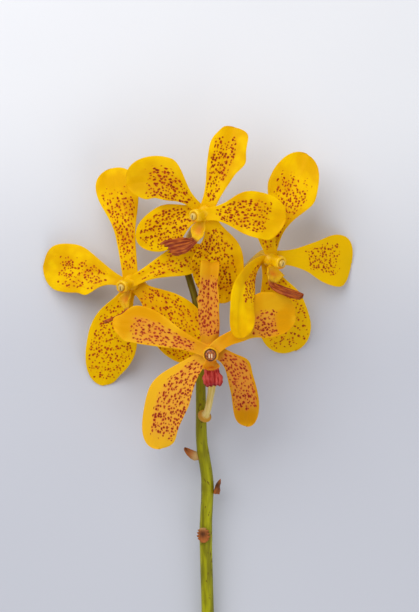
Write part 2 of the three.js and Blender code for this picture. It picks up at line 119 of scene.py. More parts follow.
# A flower has its centre, the heading and rise of its face, the routes of its pedicel and its lip,
# and the directions across the lip at its two ends. lip_shape, collar and cap change parts of it.
FLOWERS = {
    "top": dict(
        centre=(-2.1, 29.7, 28), face=(197, 50),
        pedicel=[(-7.65, 12.3, 11.25), (-8.4, 16.6, 12), (-6, 24, 16), (-1.2, 29.4, 21.2)],
        lip=[(-2.5, 27.3, 27.5), (-3.8, 23.2, 27.6), (-6.4, 20.3, 27.6), (-15.4, 17.9, 29)],
        lip_across=[(0.8, -0.3, 0.3), (0.25, -0.97, 0)],
        lip_shape=dict(slant=0.1, lobe=1.75),
        blades=dict(
            dorsal_sepal=dict(
                heading=68, rise=4, length=27, sweep=8, curl=-14, cup=20, claw=2.5, left=6.1, right=5.8,
                widest=0.72, tip=7, edges=(("right", 0.6, 0.11, 1.3), ("left", 0.95, 0.12, -1.8)),
                dots=(0.03, 0.1, 0.7, 0.95, 0.9, 0.55, 0.95)),
            petal_left=dict(
                foot=150, painted_light=0.3, heading=135, rise=11, length=26.4, sweep=64, power=1.4, curl=-30,
                claw=1.8, left=6.5, right=8.9, widest=0.54, swell=1.7, tip=2.2,
                edges=(("left", 0.55, 0.15, -1.6),), dots=(0.06, 0.16, 0.6, 0.8, 1, 0.75, 1.05)),
            petal_right=dict(
                painted_light=0.4, heading=4, rise=2, length=24.7, sweep=-14, curl=-10, left=6.9, right=7.8,
                widest=0.64, tip=2.2, edges=(("left", 0.42, 0.18, 1.3), ("right", 0.85, 0.12, 1)),
                dots=(0.04, 0.12, 0.62, 0.84, 0.8, 0.85, 0.9)),
            lateral_sepal_left=dict(
                painted_light=0.65, heading=185, rise=-5, length=24.1, sweep=46, curl=-20, claw=2.4, left=8,
                right=6.1, widest=0.52, dots=(0, 0.06, 0.84, 1, 0.95, 0.85, 0.85)),
            lateral_sepal_right=dict(
                heading=294, rise=-17, length=28.7, sweep=-32, roll=-8, claw=2.4, left=7.2, right=10,
                widest=0.52, edges=(("left", 0.3, 0.15, 0.7), ("right", 0.36, 0.14, 1.3)),
                dots=(0.06, 0.12, 0.82, 0.97, 0.75, 1.1, 0.75)),
        ),
    ),
    "left": dict(
        centre=(-26.6, 7.3, 15), face=(207, 58),
        pedicel=[(-5.45, -10.6, 10.8), (-7.2, -9.6, 10.6), (-12, -4, 9.4), (-18, 2, 9)],
        lip=[(-26.85, 5, 14.5), (-27.2, 1, 14.6), (-27.9, -2.5, 16), (-34, -5.2, 18.6)],
        lip_across=[(0.72, -0.2, 0.6), (0.3, 0.1, 0.95)],
        blades=dict(
            dorsal_sepal=dict(
                painted_light=0.5, heading=94, rise=2, length=36.2, sweep=14, curl=-10, claw=2.5, left=6.8,
                right=7.2, widest=0.8, swell=1.8, tip=2.4, edges=(("left", 0.2, 0.25, 0.7),),
                dots=(0.02, 0.08, 0.62, 0.86, 0.95, 0.9, 0.95)),
            petal_left=dict(
                foot=178, heading=158, rise=-8, length=31.6, sweep=22, curl=-34, claw=1.7, left=8.4,
                right=8.1, tip=2.6, edges=(("left", 0.34, 0.1, 2.2),),
                dots=(0.1, 0.25, 0.64, 0.86, 0.85, 0.55, 0.8)),
            petal_right=dict(
                painted_light=0.7, heading=30, rise=8, length=27, sweep=-22, claw=2, left=5, right=5.2, widest=0.65,
                swell=1.2, tip=2.4, dots=(0.03, 0.1, 0.8, 0.95, 0.85, 0.8, 0.6)),
            lateral_sepal_left=dict(
                painted_light=1, heading=243, rise=-11, length=36.4, sweep=20, curl=-17, claw=2.4, left=8.8,
                right=7.6, widest=0.52, tip=2.2,
                edges=(("right", 0.28, 0.16, 1.2), ("left", 0.6, 0.12, 0.5), ("left", 0.88, 0.1, -1.2)),
                dots=(0.08, 0.2, 0.84, 1, 0.95, 0.9, 0.75), tone=0.1),
            lateral_sepal_right=dict(
                heading=323, rise=4, length=31.6, sweep=-30, claw=2.4, left=9.4, right=8.8, widest=0.6,
                tip=2.2, edges=(("left", 0.3, 0.2, 0.8),), dots=(0.06, 0.12, 0.84, 1, 0.95, 1, 0.8)),
        ),
    ),
    "right": dict(
        centre=(20.6, 15.2, 20), face=(336, 49),
        pedicel=[(-2.7, 1.2, 11.4), (-0.4, 2, 11.8), (5, 6, 12.6), (11.6, 11.6, 13.6)],
        lip=[(20.7, 12.8, 19.6), (20.4, 9.6, 20.2), (21.4, 6.2, 21.6), (30.2, 2.8, 22.4)],
        lip_across=[(0.75, 0.25, -0.6), (0.3, 0.3, -0.9)],
        lip_shape=dict(neck=1.7, throat=2.8, throat_cup=50),
        blades=dict(
            dorsal_sepal=dict(
                painted_light=0.5, heading=76, rise=0, length=34.4, sweep=-13, curl=-10, claw=2, left=7.9,
                right=8.2, swell=1.6, tip=2.4, edges=(("right", 0.5, 0.2, 0.8),),
                dots=(0.03, 0.1, 0.58, 0.82, 0.75, 0.8, 1)),
            petal_left=dict(
                heading=112, rise=10, length=18.5, sweep=-40, curl=-5, left=4, right=4, widest=0.6, tip=2.2,
                dots=(0.04, 0.1, 0.8, 0.95, 0.8, 0.8, 0.7)),
            petal_right=dict(
                painted_light=1, heading=1, rise=-28, length=31.3, sweep=-8, curl=-14, claw=2.4, left=8.8,
                right=8.8, widest=0.78, swell=1.2, tip=2.4, dots=(0.28, 0.4, 0.68, 0.88, 0.75, 0.72, 0.9),
                tone=0.12),
            lateral_sepal_left=dict(
                heading=184, rise=48, length=32.2, sweep=96, power=0.42, curl=-42, roll=-55, twist=30,
                claw=2.4, left=5.6, right=4.2, widest=0.5, tip=5, dots=(0.05, 0.1, 0.5, 0.66, 1.2, 0, 1)),
            lateral_sepal_right=dict(
                painted_light=0.9, heading=282, rise=-18.8, length=35, sweep=14, curl=-23, claw=2.4, left=8.8,
                right=9, widest=0.6, tip=2.4, edges=(("left", 0.3, 0.18, 1.8),),
                dots=(0.03, 0.1, 0.85, 0.97, 0.95, 0.95, 0.5), tone=0.15),
        ),
    ),
    "front": dict(
        centre=(0.3, -15.1, 30), face=(270, 84),
        pedicel=[(-1.55, -36.4, 11.95), (-0.8, -35, 13.4), (0.1, -31, 14.6), (0.8, -25.2, 18.4)],
        lip=[(0.3, -17.5, 29.3), (0.5, -20.2, 29.8), (0.8, -21.8, 32), (1.3, -25.2, 37.6)],
        lip_across=[(1, 0, 0), (1, 0, 0)],
        lip_shape=dict(
            neck=1.5, throat=1.9, throat_at=0.34, throat_spread=0.26, throat_cup=52, lobe=1.7, ridges=0.14),
        collar=0.6, cap=1.9,
        blades=dict(
            dorsal_sepal=dict(
                painted_light=0.25, heading=92, rise=4, length=29.3, sweep=-6, curl=4, bend=-110, bend_from=0.78,
                cup=48, base_cup=-55, claw=3.3, left=3.9, right=3.2, widest=0.5, tip=5,
                dots=(0.08, 0.13, 0.66, 0.8, 1.1, 1, 1.2), tone=0.05),
            petal_left=dict(
                painted_light=0.3, heading=156, rise=-5, length=31.5, sweep=36, power=3, curl=-10, claw=2.2, left=6,
                right=6.6, widest=0.68, tip=2.2,
                edges=(("right", 0.4, 0.24, -1), ("right", 0.91, 0.08, -2.6), ("left", 0.88, 0.08, 0.8)),
                dots=(0.06, 0.14, 0.7, 0.84, 1, 0.5, 1.1), tone=0),
            petal_right=dict(
                painted_light=0.3, heading=44, rise=-15, length=30.4, sweep=-50, curl=-10, claw=2.1, left=9,
                right=5.8, widest=0.66, swell=1.7, tip=2.2,
                edges=(("left", 0.3, 0.14, -1.5), ("left", 0.56, 0.12, 0.8), ("right", 0.28, 0.16, 1.1)),
                dots=(0.4, 0.48, 0.7, 0.8, 0.4, 1, 1.1)),
            lateral_sepal_left=dict(
                painted_light=0.9, heading=217, rise=-5, length=36.5, sweep=56, curl=-20, claw=2.6, left=6.6,
                right=6.4, widest=0.5, tip=5, edges=(("right", 0.45, 0.2, 1.3), ("left", 0.8, 0.15, -0.8)),
                dots=(0.04, 0.1, 0.78, 0.94, 1.1, 0.62, 1.15), tone=0.15),
            lateral_sepal_right=dict(
                painted_light=0.12, heading=352, rise=-5, length=28.8, sweep=-92, power=0.5, curl=-20, claw=2.2,
                left=3.8, right=4.9, widest=0.5, tip=5, edges=(("left", 0.27, 0.1, 1.7),),
                dots=(0.03, 0.08, 0.66, 0.84, 0.9, 1, 1.3)),
        ),
    ),
}

# The lip's half-width at its neck, and what its throat and its middle lobe add. slant cuts its end askew.
LIP = dict(
    neck=1.1, throat=2.1, throat_at=0.24, throat_spread=0.17, throat_cup=66, lobe=1.35, slant=0.0, ridges=0.2)

# at is the bract's place along the stalk, and side the heading and rise of that side of the stalk.
# body is its thickness in mm above and below its middle sheet, and torn how deep its margin is torn.
# dark and light are where along it those colours lie.
BRACT_SHAPE = dict(
    widest=0.2, tip=1.2, cup=30, body=(0.3, 0.3), torn=0.1, dark=0.5, dark_width=0.6, light=0)
BRACTS = {
    "bract_upper": dict(
        at=0.428, side=(180, 10), heading=160, rise=14, sweep=-40, roll=10, length=5, half=1.6,
        torn=0.02, dark=1),
    "bract_middle": dict(
        at=0.35, side=(0, 25), heading=76, rise=8, sweep=-24, roll=-72, cup=-35, base_cup=-35, tip=2.5,
        length=4.2, half=1.4, body=(0.2, 1.9), dark=0.45, dark_width=2, light=1.4),
    "bract_lower": dict(
        at=0.267, side=(150, 70), heading=97, rise=14, roll=-12, cup=-52, base_cup=-52, tip=2.5, length=3.8,
        half=2.2, body=(0.6, 0.3), torn=0.2, dark=0.45, light=1.15),
}


# Vectors, in arrays whose last axis is x, y, z

def direction(heading, rise):
    """Unit vector at a heading and a rise."""
    heading, rise = np.radians(heading), np.radians(rise)
    flat = np.cos(rise)
    return np.stack(np.broadcast_arrays(np.cos(heading) * flat, np.sin(heading) * flat, np.sin(rise)), -1)


def unit(v):
    return v / np.linalg.norm(v, axis=-1, keepdims=True)


def square_to(axis, v):
    """Unit vector along the part of v that is square to the axis."""
    return unit(v - axis * np.sum(axis * v, axis=-1, keepdims=True))


def ramp(x, low, high):
    """0 up to low, 1 from high, and smooth between."""
    x = np.clip((x - low) / (high - low), 0, 1)
    return x * x * (3 - 2 * x)


def hump(x, at, spread):
    """A rounded peak of height 1."""
    return np.exp(-(((x - at) / spread) ** 2))


def blend(a, b, share):
    return a + (b - a) * share


def smooth_route(points, samples=400):
    """Points and unit tangents of a smooth curve through the given points, evenly spaced in its parameter."""
    p = np.array(points, float)
    p = np.vstack([2 * p[0] - p[1], p, 2 * p[-1] - p[-2]])
    x = np.linspace(0, len(points) - 1, samples)
    k = np.minimum(x.astype(int), len(points) - 2)
    w = (x - k)[:, None]
    a, b = p[k + 1], p[k + 2]
    leave, arrive = (b - p[k]) / 2, (p[k + 3] - a) / 2
    square = 3 * b - 3 * a - 2 * leave - arrive
    cube = 2 * a - 2 * b + leave + arrive
    curve = a + leave * w + square * w ** 2 + cube * w ** 3
    return curve, unit(np.gradient(curve, axis=0))


def along_route(route, t):
    """Point and tangent at each t, 0 to 1. Beyond its ends the curve runs on straight."""
    curve, tangents = route
    grid = np.linspace(0, 1, len(curve))
    inside = np.clip(t, 0, 1)
    point = np.stack([np.interp(inside, grid, curve[:, k]) for k in range(3)], -1)
    tangent = unit(np.stack([np.interp(inside, grid, tangents[:, k]) for k in range(3)], -1))
    speed = np.linalg.norm(np.diff(curve, axis=0), axis=1).sum()
    return point + tangent * ((t - inside) * speed)[..., None], tangent


# Where the layout lies in the frame

def cap_centre(flower):
    face = direction(*flower["face"])
    return np.array(flower["centre"]) + face * (COLUMN_LENGTH + CAP_HEIGHT + TOUCH_GAP)


low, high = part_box("front_anther_cap")
LAYOUT_SHIFT = np.array((low + high) / 2) * 1000 - cap_centre(FLOWERS["front"])
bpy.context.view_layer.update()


def in_frame(points):
    return (np.asarray(points) + LAYOUT_SHIFT) / 1000


# Meshes
# Each point carries place, where it lies on the piece in mm, and marks, three shares that its finish reads.

def make_piece(name, node, rings, marks, place, finish, folded=False):
    """One closed mesh from rings of points. folded shuts its ends flat, as a sheet's, and not with a face."""
    rows, size = rings.shape[:2]
    points = [tuple(p) for p in in_frame(rings.reshape(-1, 3))]
    faces = []
    for i in range(rows - 1):
        for j in range(size):
            a, b = i * size + j, i * size + (j + 1) % size
            faces.append((a, a + size, b + size, b))
    last = (rows - 1) * size
    if folded:
        half = size // 2
        for start in (0, last):
            for j in range(half):
                corners = [start + k for k in (j, j + 1, (size - j - 1) % size, (size - j) % size)]
                faces.append(tuple(dict.fromkeys(corners)))
    else:
        faces += [tuple(range(size)), tuple(range(last, last + size))]
    mesh = bpy.data.meshes.new(name)
    mesh.from_pydata(points, [], faces)
    write_attribute(mesh, "marks", marks.reshape(-1, 3))
    write_attribute(mesh, "place", place.reshape(-1, 3))
    shape = bmesh.new()
    shape.from_mesh(mesh)
    bmesh.ops.recalc_face_normals(shape, faces=shape.faces)
    shape.to_mesh(mesh)
    shape.free()
    mesh.shade_smooth()
    mesh.materials.append(finish)
    piece = bpy.data.objects.new(name, mesh)
    bpy.context.scene.collection.objects.link(piece)
    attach(piece, "root")
    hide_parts(node)
    return piece


def write_attribute(mesh, name, values):
    made = mesh.attributes.new(name, "FLOAT_VECTOR", "POINT")
    made.data.foreach_set("vector", np.ascontiguousarray(values, np.float32).ravel())


def fold_sheet(upper, lower):
    """Rings round a sheet: along its upper side and back along its lower one. The margins are shared."""
    return np.concatenate([upper, lower[:, -2:0:-1]], axis=1)


def arc_points(centre, across, normal, cup, half, s):
    """Points on an arc across a sheet and their outward normals. s runs from -1 to 1 across it."""
    bend = cup * s
    sideways = (half * np.sin(bend) / cup)[..., None]
    lift = (half * (1 - np.cos(bend)) / cup)[..., None]
    outward = normal * np.cos(bend)[..., None] - across * np.sin(bend)[..., None]
    return centre + across * sideways + normal * lift, outward


# Petals and sepals

def blade_angles(blade, t):
    """Heading and rise of the midrib at t. The last part may also bend, up or down."""
    heading = blade["heading"] + blade["sweep"] * t ** blade["power"]
    rise = blade["rise"] + blade["curl"] * t + blade["bend"] * ramp(t, blade["bend_from"], 1)
    return heading, rise


def blade_frame(blade, start, t):
    """Midrib point and the blade's three directions at each t. Below 0 the blade runs back into its seat."""
    u = (np.arange(RIB_STEPS) + 0.5) / RIB_STEPS
    steps = direction(*blade_angles(blade, u))
    rib = start + np.vstack([np.zeros(3), np.cumsum(steps, axis=0)]) * blade["length"] / RIB_STEPS
    inside = np.clip(t, 0, 1)
    grid = np.linspace(0, 1, RIB_STEPS + 1)
    centre = np.stack([np.interp(inside, grid, rib[:, k]) for k in range(3)], -1)
    heading, rise = blade_angles(blade, inside)
    along = direction(heading, rise)
    centre = centre + along * ((t - inside) * blade["length"])[..., None]
    level = direction(heading + 90, 0 * heading)
    roll = np.radians(blade["roll"] + blade["twist"] * inside)[..., None]
    across = level * np.cos(roll) + np.cross(along, level) * np.sin(roll)
    return centre, along, across, np.cross(along, across)


def blade_half_width(blade, t, s):
    """Half-width to either side: it swells from the claw to the widest place and rounds off to the tip."""
    inside = np.clip(t, 0, 1)
    widest = blade["widest"]
    full = np.where(s > 0, blade["left"], blade["right"])
    swelling = ramp(np.minimum(inside / widest, 1) ** blade["swell"], 0, 1)
    beyond = np.clip((inside - widest) / (1 - widest), 0, 1)
    rounding = np.sqrt(np.clip(1 - beyond ** blade["tip"], 0, 1))
    half = np.where(inside < widest, blade["claw"] + (full - blade["claw"]) * swelling, full * rounding)
    for side, at, spread, amount in blade["edges"]:
        here = (s > 0) if side == "left" else (s < 0)
        half = half + here * amount * hump(t, at, spread) * rounding
    return np.maximum(0.12, half * (1 + 1.5 * np.minimum(t, 0)))


def blade_relief(blade, t, s, half, chance):
    """How far the surface lifts from its plain arc: a groove over the midrib, soft waves and ruffles."""
    faded = ramp(t, 0.02, 0.16) * (1 - ramp(t, 0.86, 1))
    groove = -0.14 * np.exp(-((s * half / 0.6) ** 2)) * faded
    shoulders = 0.07 * np.exp(-(((np.abs(s * half) - 1.4) / 0.8) ** 2)) * faded
    phase = chance.uniform(0, 2 * math.pi, 4)
    turns = blade["waves"] * 2 * math.pi
    side = np.where(s > 0, phase[0], phase[1])
    ruffle = blade["ruffle"] * np.abs(s) ** 3 * np.sin(turns * t + side) * ramp(t, 0.2, 0.5)
    swell = 0.22 * np.sin(5 * t + 2.2 * s + phase[2]) * np.sin(7 * t - 3 * s + phase[3]) * ramp(t, 0.1, 0.4)
    return groove + shoulders + ruffle + swell


def blade_dots(blade, t, s):
    """How densely spots lie at each place, from 0 for none."""
    start, full, fade, end, left, right, amount = blade["dots"]
    along = ramp(t, start, full) * (1 - ramp(t, fade, end))
    return amount * along * (1 - ramp(s, left - 0.2, left)) * (1 - ramp(-s, right - 0.2, right))


def make_blade(node, blade, start, finish, seed):
    """A petal or sepal: a curved sheet, thickest over its midrib, that starts inside its seat."""
    chance = np.random.default_rng(seed)
    seat = np.linspace(-SEAT_DEPTH / blade["length"], 0, 5)[:-1]
    rows = np.concatenate([seat, 1 - (1 - np.linspace(0, 1, BLADE_ROWS)) ** 1.35])
    columns = np.sin(np.linspace(-0.5, 0.5, BLADE_COLUMNS + 1) * math.pi)
    t, s = np.meshgrid(rows, columns, indexing="ij")
    centre, _, across, normal = blade_frame(blade, start, t)
    half = blade_half_width(blade, t, s)
    cup = np.radians(blend(blade["base_cup"], blade["cup"], ramp(t, 0, 0.5)))
    middle, outward = arc_points(centre, across, normal, cup, half, s)
    middle = middle + outward * blade_relief(blade, t, s, half, chance)[..., None]
    thick = blend(MARGIN_HALF, TISSUE_HALF, 1 - s * s) * (1 - TIP_THINNING * ramp(t, blade["widest"], 1))
    thick = (thick * np.sqrt(np.clip(1 - np.abs(s) ** 16, 0, 1)))[..., None]
    rings = fold_sheet(middle + outward * thick, middle - outward * thick)
    dots = blade_dots(blade, t, s)
    blush = np.clip(blade["blush"] * np.exp(-np.maximum(t, 0) / 0.09) + blade["tone"], 0, 1)
    # Painted light and shade for the whole blade, a little lighter at its margins and tip.
    painted_light = blade["painted_light"] + 0.12 * np.maximum(np.abs(s) ** 8, ramp(t, 0.9, 1))
    marks = np.stack([dots, blush, painted_light], -1)
    under = marks * np.array([UNDERSIDE_DOTS, 1, 1])
    place = np.stack([s * half, t * blade["length"], np.full(t.shape, float(seed))], -1)
    return make_piece(
        f"{node}_flesh", node, rings, fold_sheet(marks, under), fold_sheet(place, place), finish,
        folded=True)


# Lip, column and cap

def make_lip(node, flower, finish, seed):
    """A cupped throat with raised side lobes, then a fleshy middle lobe with ridges and a ragged end."""
    shape = {**LIP, **flower.get("lip_shape", {})}
    rows = np.concatenate([np.linspace(-0.06, 0, 4)[:-1], np.linspace(0, 1, LIP_ROWS)])
    columns = np.sin(np.linspace(-0.5, 0.5, LIP_COLUMNS + 1) * math.pi)
    t, s = np.meshgrid(rows, columns, indexing="ij")
    frayed = 0.014 * (np.cos(3.2 * s + seed) - 1) + 0.014 * np.sin(13 * s + 2 * seed)
    frayed = frayed + 0.007 * np.sin(29 * s) - shape["slant"] * (1 + s) / 2
    centre, along = along_route(smooth_route(flower["lip"]), t + frayed * ramp(t, 0.7, 1))
    first, last = (np.array(v, float) for v in flower["lip_across"])
    across = square_to(along, blend(first, last, ramp(t, 0, 1)[..., None]))
    normal = np.cross(along, across)
    throat = hump(t, shape["throat_at"], shape["throat_spread"])
    lobe = ramp(t, 0.52, 0.84)
    half = shape["neck"] + shape["throat"] * throat + shape["lobe"] * lobe
    half = half * (1 - 0.2 * ramp(t, 0.92, 1)) * (1 + 0.04 * np.sin(31 * t + seed))
    cup = np.radians(-10 * lobe + 12 + shape["throat_cup"] * throat)
    middle, outward = arc_points(centre, across, normal, cup, half, s)
    wander = 0.35 * np.sin(5 * t + seed) + 0.8 * s * s + 0.3 * np.sin(4 * s + 3 * t)
    uneven = 0.65 + 0.35 * np.sin(4 * s + 2 * seed + 3 * t)
    ridge = uneven * np.cos((5 * s + wander) * math.pi) * (1 - s ** 6) * ramp(t, 0.42, 0.58)
    callus = hump(s, 0, 0.35) * hump(t, 0.36, 0.1)
    thick = blend(0.3, 0.55, lobe) * np.sqrt(np.clip(1 - np.abs(s) ** 10, 0, 1))
    upper = middle + outward * (thick + shape["ridges"] * ridge + 0.5 * callus)[..., None]
    lower = middle - outward * thick[..., None]
    glow = hump(s, 0, 0.6) * hump(t, shape["throat_at"], 0.14)
    marks = np.stack([ramp(t, 0.44, 0.56), 0.5 + 0.5 * ridge, glow], -1)
    length = np.linalg.norm(np.diff(np.array(flower["lip"], float), axis=0), axis=1).sum()
    place = np.stack([s * half, t * length, np.full(t.shape, float(seed))], -1)
    return make_piece(
        f"{node}_flesh", node, fold_sheet(upper, lower), fold_sheet(marks, marks),
        fold_sheet(place, place), finish, folded=True)


def flower_axes(flower):
    """Centre, face, the direction in the flower's plane towards its lip, and the one square to both."""
    centre = np.array(flower["centre"], float)
    face = direction(*flower["face"])
    front = square_to(face, np.array(flower["lip"][1], float) - centre)
    return centre, face, front, np.cross(face, front)


def turned_piece(node, flower, height, radius, shaped, finish):
    """A round piece about the flower's axis. shaped alters the height and radius of its rings by angle."""
    centre, face, front, side = flower_axes(flower)
    angles = np.linspace(0, 2 * math.pi, TUBE_SIDES, endpoint=False)
    angles = np.where(angles > math.pi, angles - 2 * math.pi, angles)
    height, radius, turn = np.broadcast_arrays(height[:, None], radius[:, None], angles)
    height, radius = shaped(height, radius, turn)
    spoke = front * np.cos(turn)[..., None] + side * np.sin(turn)[..., None]
    rings = centre + face * height[..., None] + spoke * radius[..., None]
    place = np.stack([radius * np.cos(turn), radius * np.sin(turn), height], -1)
    marks = np.stack([radius / radius.max(), np.cos(turn), 0 * turn], -1)
    return make_piece(f"{node}_flesh", node, rings, marks, place, finish)


def make_column(node, flower, finish):
    """A short waxy stub with a swollen foot, a hollow under its mouth and a rounded collar round the cap."""
    outside = np.linspace(COLUMN_BOTTOM, COLUMN_MOUTH, 40)
    foot = COLUMN_FOOT_SWELLING * hump(outside, -1.1, 1.4)
    waist = 0.1 * hump(outside, 1.6, 1)
    collar = flower.get("collar", COLLAR_SWELLING) * hump(outside, COLUMN_MOUTH, 1.5)
    wall = COLUMN_RADIUS + foot - waist + collar
    wall[:4] *= [0.2, 0.6, 0.85, 0.97]
    inner = flower.get("cap", CAP_RADIUS) - 0.1
    over = math.pi * np.linspace(0, 1, 12)[1:]
    brim = blend(wall[-1], inner, (1 - np.cos(over)) / 2)
    height = np.concatenate([outside, COLUMN_MOUTH + COLLAR_HEIGHT * np.sin(over), [4.1, 4.05]])
    radius = np.concatenate([wall, brim, [inner * 0.6, 0.2]])

    def shaped(h, r, turn):
        hollow = 0.75 * hump(turn, 0, 0.55) * hump(h, 2.9, 1)
        wings = 0.3 * hump(np.abs(turn), 0.95, 0.25) * hump(h, 3.2, 1.1)
        return h, r * (1 + 0.02 * np.cos(6 * turn)) - hollow + wings

    return turned_piece(node, flower, height, radius, shaped, finish)


def make_cap(node, flower, finish):
    """The cap over the pollen: a low dome with a beak towards the lip and a furrow down its middle."""
    u = np.linspace(0, 1, 26)
    height = CAP_SEAT + CAP_RISE * np.sin(u * math.pi / 2) ** 1.2
    radius = flower.get("cap", CAP_RADIUS) * np.sqrt(np.clip(1 - u ** 2.6, 0, 1))
    radius[-1] = 0.04

    def shaped(h, r, turn):
        beak = 0.25 * hump(turn, 0, 0.5) * hump(h, 5.0, 0.7)
        furrow = 0.1 * hump(np.sin(turn) * r, 0, 0.28) * ramp(h, 4.6, 6.6)
        return h - furrow, r + beak

    return turned_piece(node, flower, height, radius, shaped, finish)


# Stalk, pedicels and bracts

def tube_frame(tangent):
    """Side and up directions carried along a route without twisting."""
    side = np.array([1, 0.2, 0.1])
    sides = []
    for ahead in tangent:
        side = square_to(ahead, side)
        sides.append(side)
    sides = np.array(sides)
    return sides, np.cross(tangent, sides)


def tube_rings(point, tangent, turn, radius):
    """Rings of a tube. turn is the angle of each side, and radius an array of rows by sides."""
    side, up = tube_frame(tangent)
    spoke = side[:, None] * np.cos(turn)[:, None] + up[:, None] * np.sin(turn)[:, None]
    return point[:, None] + spoke * radius[..., None]


def distance_along(point):
    steps = np.linalg.norm(np.diff(point, axis=0), axis=1)
    return np.concatenate([[0], np.cumsum(steps)])


def stalk_radius(t):
    return blend(STALK_RADIUS_AT_CUT, STALK_RADIUS_AT_TIP, ramp(t, STALK_TAPER_FROM, STALK_TAPER_TO))


def make_stalk(finish):
    """The stalk, with a slightly dished cut end, a rounded tip and a low ring at each bract."""
    t = np.concatenate([np.zeros(len(CUT_END)), np.linspace(0, 1, STALK_ROWS), np.ones(len(TIP_END))])
    plain = [(1, 0)] * STALK_ROWS
    inward, pushed = np.array(CUT_END + plain + TIP_END, float).T
    point, tangent = along_route(smooth_route(STALK_ROUTE), t)
    point = point + tangent * pushed[:, None]
    turn = np.linspace(0, 2 * math.pi, STALK_SIDES, endpoint=False)
    nodes = sum(hump(t, bract["at"] + 0.004, NODE_LENGTH) for bract in BRACTS.values())
    grain = 0.018 * np.cos(9 * turn + 6 * t[:, None]) + 0.012 * np.cos(14 * turn - 11 * t[:, None])
    radius = (stalk_radius(t) * inward)[:, None] * (1 + grain) + (NODE_LIFT * nodes * inward)[:, None]
    rings = tube_rings(point, tangent, turn, radius)
    cut = (t <= 0) * (1 - ramp(inward, 0.88, 0.97))
    run = distance_along(point)
    marks = np.stack(np.broadcast_arrays(cut[:, None], nodes[:, None], 0 * radius), -1)
    place = np.stack(np.broadcast_arrays(radius * np.cos(turn), run[:, None], radius * np.sin(turn)), -1)
    return make_piece("stem_flesh", "stem", rings, marks, place, finish)


def make_pedicel(node, flower, finish, seed):
    """A thin stalk with a knuckle at the stem, which swells into the ribbed ovary behind the flower."""
    centre, face, _, _ = flower_axes(flower)
    back = centre - face * (COLUMN_BACK + TOUCH_GAP)
    neck = back - face * OVARY_NECK
    route = smooth_route(flower["pedicel"] + [tuple(neck), tuple(back)])
    t = np.concatenate([np.linspace(-0.035, 0, 6)[:-1], np.linspace(0, 1, PEDICEL_ROWS), [1.01, 1.02]])
    point, tangent = along_route(route, t)
    turn = np.linspace(0, 2 * math.pi, TUBE_SIDES, endpoint=False)
    ovary = ramp(t, 0.45, 0.85)
    ribs = ramp(t, 0.42, 0.6)[:, None] * np.cos(6 * turn + 5 * t[:, None])
    knuckle = 0.85 * hump(t, 0.02, 0.06) + 0.6 * hump(t, -0.02, 0.04)
    plain = PEDICEL_RADIUS + knuckle + OVARY_SWELLING * ovary - 0.15 * ramp(t, 0.9, 1)
    plain[-2:] *= [0.8, 0.3]
    plain = plain[:, None]
    rings = tube_rings(point, tangent, turn, plain * (1 + RIB_SHARE * ribs))
    run = distance_along(point)[:, None]
    marks = np.stack(np.broadcast_arrays(hump(t, 0, 0.11)[:, None], ovary[:, None], 0.5 + 0.5 * ribs), -1)
    place = np.stack(np.broadcast_arrays(plain * np.cos(turn), run, plain * np.sin(turn) + seed), -1)
    return make_piece(f"{node}_flesh", node, rings, marks, place, finish)


def make_bract(node, bract, finish, seed):
    """A dry papery scale with a torn margin."""
    chance = np.random.default_rng(seed)
    route = smooth_route(STALK_ROUTE)
    point, tangent = along_route(route, np.array(bract["at"]))
    outward = square_to(tangent, direction(*bract["side"]))
    start = point + outward * (stalk_radius(bract["at"]) + TOUCH_GAP + TISSUE_HALF)
    widths = dict.fromkeys(("claw", "left", "right"), bract["half"])
    blade = {**BLADE, **BRACT_SHAPE, **bract, **widths}
    seat = np.linspace(-BRACT_SEAT_DEPTH / bract["length"], 0, 6)[:-1]
    rows = np.concatenate([seat, 1 - (1 - np.linspace(0, 1, BRACT_ROWS)) ** 1.2])
    columns = np.sin(np.linspace(-0.5, 0.5, BRACT_COLUMNS + 1) * math.pi)
    t, s = np.meshgrid(rows, columns, indexing="ij")
    centre, _, across, normal = blade_frame(blade, start, t)
    tear = 1 + blade["torn"] * np.sin(23 * t + 2 * np.sign(s) + seed) * np.abs(s)
    half = blade_half_width(blade, t, s) * tear
    cup = np.radians(blend(blade["base_cup"], blade["cup"], ramp(t, 0, 0.5)))
    middle, out = arc_points(centre, across, normal, cup, half, s)
    pleats = 0.05 * np.cos(7 * s + 2 * t) + 0.1 * np.sin(6 * t + chance.uniform(0, 6)) * s
    middle = middle + out * (pleats * ramp(t, 0, 0.3))[..., None]
    rounded = (1 - 0.5 * ramp(t, 0, 0.5)) * np.sqrt(np.clip(1 - s ** 4, 0, 1)) * (1 - t.clip(0, 1) ** 6)
    rounded = rounded[..., None]
    above, below = blade["body"]
    rings = fold_sheet(middle + out * above * rounded, middle - out * below * rounded)
    dark = hump(t, blade["dark"], 0.4) * hump(s, 0, blade["dark_width"])
    marks = np.stack([dark, hump(t, blade["light"], 0.3), s * s], -1)
    place = np.stack([s * half, t * bract["length"], np.full(t.shape, float(seed))], -1)
    return make_piece(
        f"{node}_flesh", node, rings, fold_sheet(marks, marks), fold_sheet(place, place), finish,
        folded=True)


# Finishes

def screen(red, green, blue):
    """Linear colour from screen values of 0 to 255."""
    values = [v / 255 for v in (red, green, blue)]
    return tuple(v / 12.92 if v <= 0.04045 else ((v + 0.055) / 1.055) ** 2.4 for v in values) + (1.0,)


